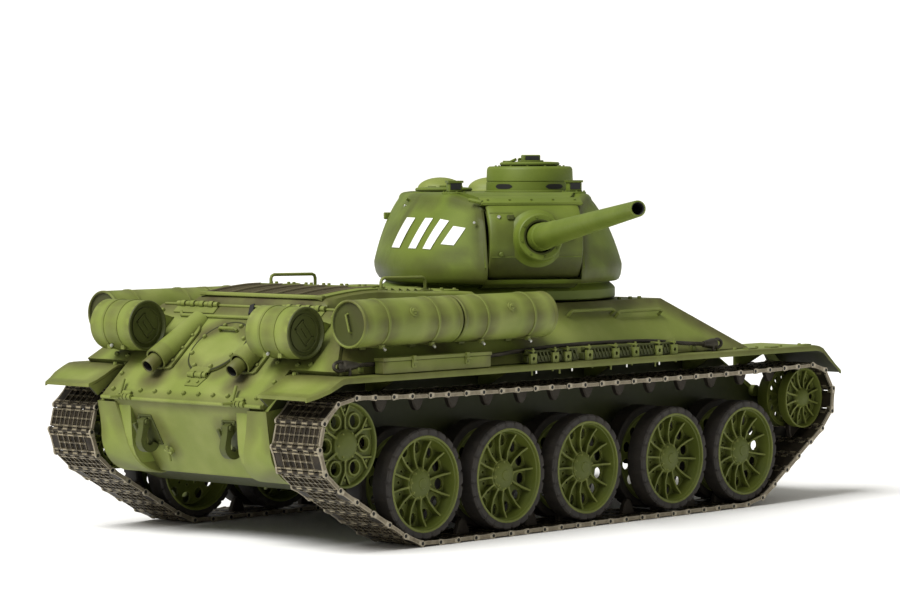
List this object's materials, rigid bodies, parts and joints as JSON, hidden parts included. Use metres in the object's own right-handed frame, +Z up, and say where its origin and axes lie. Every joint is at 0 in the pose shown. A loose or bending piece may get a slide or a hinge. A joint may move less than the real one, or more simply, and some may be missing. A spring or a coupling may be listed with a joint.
{
  "type": "radio controlled model tank",
  "caption": "Tracked model tank with a turning turret, elevating gun, sprung road wheels, side fuel drums and opening hatches.",
  "frame": {"origin": "middle of the belly plate's underside, 25 mm above the ground that the tracks stand on", "axes": "+Z up, the tank's front faces -Y, its right side is at -X"},
  "size_m": [0.3033, 0.3908, 0.1804],
  "materials": {
    "green_paint": "airbrushed green with brown shading",
    "wheel_green": "deep green paint",
    "tyre_rubber": "dusty rubber",
    "track_metal": "dark cast links with worn edges",
    "bare_steel": "worn pin ends and screws",
    "cable_steel": "dark twisted wire",
    "vision_glass": "black vision blocks",
    "marking_white": "stencilled white",
    "battery_wrap": "shrink wrap",
    "circuit_board": "solder mask",
    "black_plastic": "moulded"
  },
  "bodies": {
    "hull": {"lower_hull": "green_paint", "upper_hull": "green_paint", "rear_plate": "green_paint", "engine_deck_cover": "green_paint", "fender_right": "green_paint", "fender_left": "green_paint", "exhaust_right": "green_paint", "exhaust_left": "green_paint", "fuel_drum_right_rear": "green_paint", "fuel_drum_right_front": "green_paint", "fuel_drum_left_rear": "green_paint", "fuel_drum_left_front": "green_paint", "rear_drum_right": "green_paint", "rear_drum_left": "green_paint", "tool_box": "green_paint", "tow_cable": "cable_steel", "track_right": "track_metal", "track_left": "track_metal", "battery_pack": "battery_wrap", "control_board": "circuit_board", "gearbox_right": "black_plastic", "gearbox_left": "black_plastic", "turret_motor": "black_plastic", "speaker": "black_plastic"},
    "turret": {"turret_body": "green_paint", "cupola": "green_paint", "vent_dome_right": "green_paint", "vent_dome_left": "green_paint"},
    "gun_mount": {"mantlet": "green_paint"},
    "barrel": {"gun_barrel": "green_paint"},
    "commander_hatch": {"commander_hatch": "green_paint"},
    "loader_hatch": {"loader_hatch": "green_paint"},
    "driver_hatch": {"driver_hatch": "green_paint"},
    "transmission_hatch": {"transmission_hatch": "green_paint"},
    "bow_gun": {"bow_gun": "green_paint"},
    "power_switch": {"power_switch": "black_plastic"},
    "sprocket_right": {"sprocket_right": "wheel_green"},
    "idler_right": {"idler_right": "wheel_green"},
    "swing_arm_right_1": {"swing_arm_right_1": "wheel_green"},
    "road_wheel_right_1": {"road_wheel_right_1": "wheel_green"},
    "swing_arm_right_2": {"swing_arm_right_2": "wheel_green"},
    "road_wheel_right_2": {"road_wheel_right_2": "wheel_green"},
    "swing_arm_right_3": {"swing_arm_right_3": "wheel_green"},
    "road_wheel_right_3": {"road_wheel_right_3": "wheel_green"},
    "swing_arm_right_4": {"swing_arm_right_4": "wheel_green"},
    "road_wheel_right_4": {"road_wheel_right_4": "wheel_green"},
    "swing_arm_right_5": {"swing_arm_right_5": "wheel_green"},
    "road_wheel_right_5": {"road_wheel_right_5": "wheel_green"},
    "sprocket_left": {"sprocket_left": "wheel_green"},
    "idler_left": {"idler_left": "wheel_green"},
    "swing_arm_left_1": {"swing_arm_left_1": "wheel_green"},
    "road_wheel_left_1": {"road_wheel_left_1": "wheel_green"},
    "swing_arm_left_2": {"swing_arm_left_2": "wheel_green"},
    "road_wheel_left_2": {"road_wheel_left_2": "wheel_green"},
    "swing_arm_left_3": {"swing_arm_left_3": "wheel_green"},
    "road_wheel_left_3": {"road_wheel_left_3": "wheel_green"},
    "swing_arm_left_4": {"swing_arm_left_4": "wheel_green"},
    "road_wheel_left_4": {"road_wheel_left_4": "wheel_green"},
    "swing_arm_left_5": {"swing_arm_left_5": "wheel_green"},
    "road_wheel_left_5": {"road_wheel_left_5": "wheel_green"}
  },
  "joints": [
    {"name": "turret_traverse", "type": "hinge", "parent": "hull", "child": "turret", "pos_m": [0, -0.0287, 0.083], "axis": [0, 0, 1], "range_deg": [-36, 284]},
    {"name": "gun_elevation", "type": "hinge", "parent": "turret", "child": "gun_mount", "pos_m": [-0.04717, 0.0024, 0.1126], "axis": [0.5505, 0.8348, 0], "range_deg": [-7, 14]},
    {"name": "barrel_recoil", "type": "slide", "parent": "gun_mount", "child": "barrel", "axis": [0.8307, -0.5478, -0.0993], "range_m": [0, 0.008], "stiffness_N_per_m": 200, "springref_m": -0.004},
    {"name": "commander_hatch_hinge", "type": "hinge", "parent": "turret", "child": "commander_hatch", "pos_m": [0.00969, -0.05833, 0.1504], "axis": [0.5505, 0.8348, 0], "range_deg": [0, 100]},
    {"name": "loader_hatch_hinge", "type": "hinge", "parent": "turret", "child": "loader_hatch", "pos_m": [0.04255, -0.02921, 0.1374], "axis": [0.5505, 0.8348, 0], "range_deg": [0, 100]},
    {"name": "driver_hatch_hinge", "type": "hinge", "parent": "hull", "child": "driver_hatch", "pos_m": [0.024, -0.09683, 0.07634], "axis": [-1, 0, 0], "range_deg": [0, 60]},
    {"name": "transmission_hatch_hinge", "type": "hinge", "parent": "hull", "child": "transmission_hatch", "pos_m": [0, 0.17936, 0.05343], "axis": [-1, 0, 0], "range_deg": [0, 100]},
    {"name": "bow_gun_elevation", "type": "hinge", "parent": "hull", "child": "bow_gun", "pos_m": [-0.028, -0.11118, 0.06643], "axis": [-1, 0, 0], "range_deg": [-6, 12]},
    {"name": "power_switch_slide", "type": "slide", "parent": "hull", "child": "power_switch", "axis": [0, 1, 0], "range_m": [0, 0.005]},
    {"name": "sprocket_right_spin", "type": "hinge", "parent": "hull", "child": "sprocket_right", "pos_m": [-0.0767, 0.1693, 0.0248], "axis": [1, 0, 0], "continuous": true},
    {"name": "idler_right_spin", "type": "hinge", "parent": "hull", "child": "idler_right", "pos_m": [-0.0767, -0.1736, 0.0279], "axis": [1, 0, 0], "continuous": true},
    {"name": "swing_arm_right_1_swing", "type": "hinge", "parent": "hull", "child": "swing_arm_right_1", "pos_m": [-0.0767, 0.1, 0.013], "axis": [1, 0, 0], "range_deg": [0, 12], "stiffness_Nm_per_rad": 0.4},
    {"name": "road_wheel_right_1_spin", "type": "hinge", "parent": "swing_arm_right_1", "child": "road_wheel_right_1", "pos_m": [-0.0767, 0.12, 0.0038], "axis": [1, 0, 0], "continuous": true},
    {"name": "swing_arm_right_2_swing", "type": "hinge", "parent": "hull", "child": "swing_arm_right_2", "pos_m": [-0.0767, 0.0426, 0.013], "axis": [1, 0, 0], "range_deg": [0, 12], "stiffness_Nm_per_rad": 0.4},
    {"name": "road_wheel_right_2_spin", "type": "hinge", "parent": "swing_arm_right_2", "child": "road_wheel_right_2", "pos_m": [-0.0767, 0.0626, 0.0038], "axis": [1, 0, 0], "continuous": true},
    {"name": "swing_arm_right_3_swing", "type": "hinge", "parent": "hull", "child": "swing_arm_right_3", "pos_m": [-0.0767, -0.0148, 0.013], "axis": [1, 0, 0], "range_deg": [0, 12], "stiffness_Nm_per_rad": 0.4},
    {"name": "road_wheel_right_3_spin", "type": "hinge", "parent": "swing_arm_right_3", "child": "road_wheel_right_3", "pos_m": [-0.0767, 0.0052, 0.0038], "axis": [1, 0, 0], "continuous": true},
    {"name": "swing_arm_right_4_swing", "type": "hinge", "parent": "hull", "child": "swing_arm_right_4", "pos_m": [-0.0767, -0.0813, 0.013], "axis": [1, 0, 0], "range_deg": [0, 12], "stiffness_Nm_per_rad": 0.4},
    {"name": "road_wheel_right_4_spin", "type": "hinge", "parent": "swing_arm_right_4", "child": "road_wheel_right_4", "pos_m": [-0.0767, -0.0613, 0.0038], "axis": [1, 0, 0], "continuous": true},
    {"name": "swing_arm_right_5_swing", "type": "hinge", "parent": "hull", "child": "swing_arm_right_5", "pos_m": [-0.0767, -0.1387, 0.013], "axis": [1, 0, 0], "range_deg": [0, 12], "stiffness_Nm_per_rad": 0.4},
    {"name": "road_wheel_right_5_spin", "type": "hinge", "parent": "swing_arm_right_5", "child": "road_wheel_right_5", "pos_m": [-0.0767, -0.1187, 0.0038], "axis": [1, 0, 0], "continuous": true},
    {"name": "sprocket_left_spin", "type": "hinge", "parent": "hull", "child": "sprocket_left", "pos_m": [0.0767, 0.1693, 0.0248], "axis": [1, 0, 0], "continuous": true},
    {"name": "idler_left_spin", "type": "hinge", "parent": "hull", "child": "idler_left", "pos_m": [0.0767, -0.1736, 0.0279], "axis": [1, 0, 0], "continuous": true},
    {"name": "swing_arm_left_1_swing", "type": "hinge", "parent": "hull", "child": "swing_arm_left_1", "pos_m": [0.0767, 0.1, 0.013], "axis": [1, 0, 0], "range_deg": [0, 12], "stiffness_Nm_per_rad": 0.4},
    {"name": "road_wheel_left_1_spin", "type": "hinge", "parent": "swing_arm_left_1", "child": "road_wheel_left_1", "pos_m": [0.0767, 0.12, 0.0038], "axis": [1, 0, 0], "continuous": true},
    {"name": "swing_arm_left_2_swing", "type": "hinge", "parent": "hull", "child": "swing_arm_left_2", "pos_m": [0.0767, 0.0426, 0.013], "axis": [1, 0, 0], "range_deg": [0, 12], "stiffness_Nm_per_rad": 0.4},
    {"name": "road_wheel_left_2_spin", "type": "hinge", "parent": "swing_arm_left_2", "child": "road_wheel_left_2", "pos_m": [0.0767, 0.0626, 0.0038], "axis": [1, 0, 0], "continuous": true},
    {"name": "swing_arm_left_3_swing", "type": "hinge", "parent": "hull", "child": "swing_arm_left_3", "pos_m": [0.0767, -0.0148, 0.013], "axis": [1, 0, 0], "range_deg": [0, 12], "stiffness_Nm_per_rad": 0.4},
    {"name": "road_wheel_left_3_spin", "type": "hinge", "parent": "swing_arm_left_3", "child": "road_wheel_left_3", "pos_m": [0.0767, 0.0052, 0.0038], "axis": [1, 0, 0], "continuous": true},
    {"name": "swing_arm_left_4_swing", "type": "hinge", "parent": "hull", "child": "swing_arm_left_4", "pos_m": [0.0767, -0.0813, 0.013], "axis": [1, 0, 0], "range_deg": [0, 12], "stiffness_Nm_per_rad": 0.4},
    {"name": "road_wheel_left_4_spin", "type": "hinge", "parent": "swing_arm_left_4", "child": "road_wheel_left_4", "pos_m": [0.0767, -0.0613, 0.0038], "axis": [1, 0, 0], "continuous": true},
    {"name": "swing_arm_left_5_swing", "type": "hinge", "parent": "hull", "child": "swing_arm_left_5", "pos_m": [0.0767, -0.1387, 0.013], "axis": [1, 0, 0], "range_deg": [0, 12], "stiffness_Nm_per_rad": 0.4},
    {"name": "road_wheel_left_5_spin", "type": "hinge", "parent": "swing_arm_left_5", "child": "road_wheel_left_5", "pos_m": [0.0767, -0.1187, 0.0038], "axis": [1, 0, 0], "continuous": true}
  ],
  "couplings": [
    {"joint": "idler_right_spin", "follows": "sprocket_right_spin", "ratio": 1.2159},
    {"joint": "road_wheel_right_1_spin", "follows": "sprocket_right_spin", "ratio": 0.8295},
    {"joint": "road_wheel_right_2_spin", "follows": "sprocket_right_spin", "ratio": 0.8295},
    {"joint": "road_wheel_right_3_spin", "follows": "sprocket_right_spin", "ratio": 0.8295},
    {"joint": "road_wheel_right_4_spin", "follows": "sprocket_right_spin", "ratio": 0.8295},
    {"joint": "road_wheel_right_5_spin", "follows": "sprocket_right_spin", "ratio": 0.8295},
    {"joint": "idler_left_spin", "follows": "sprocket_left_spin", "ratio": 1.2159},
    {"joint": "road_wheel_left_1_spin", "follows": "sprocket_left_spin", "ratio": 0.8295},
    {"joint": "road_wheel_left_2_spin", "follows": "sprocket_left_spin", "ratio": 0.8295},
    {"joint": "road_wheel_left_3_spin", "follows": "sprocket_left_spin", "ratio": 0.8295},
    {"joint": "road_wheel_left_4_spin", "follows": "sprocket_left_spin", "ratio": 0.8295},
    {"joint": "road_wheel_left_5_spin", "follows": "sprocket_left_spin", "ratio": 0.8295}
  ]
}
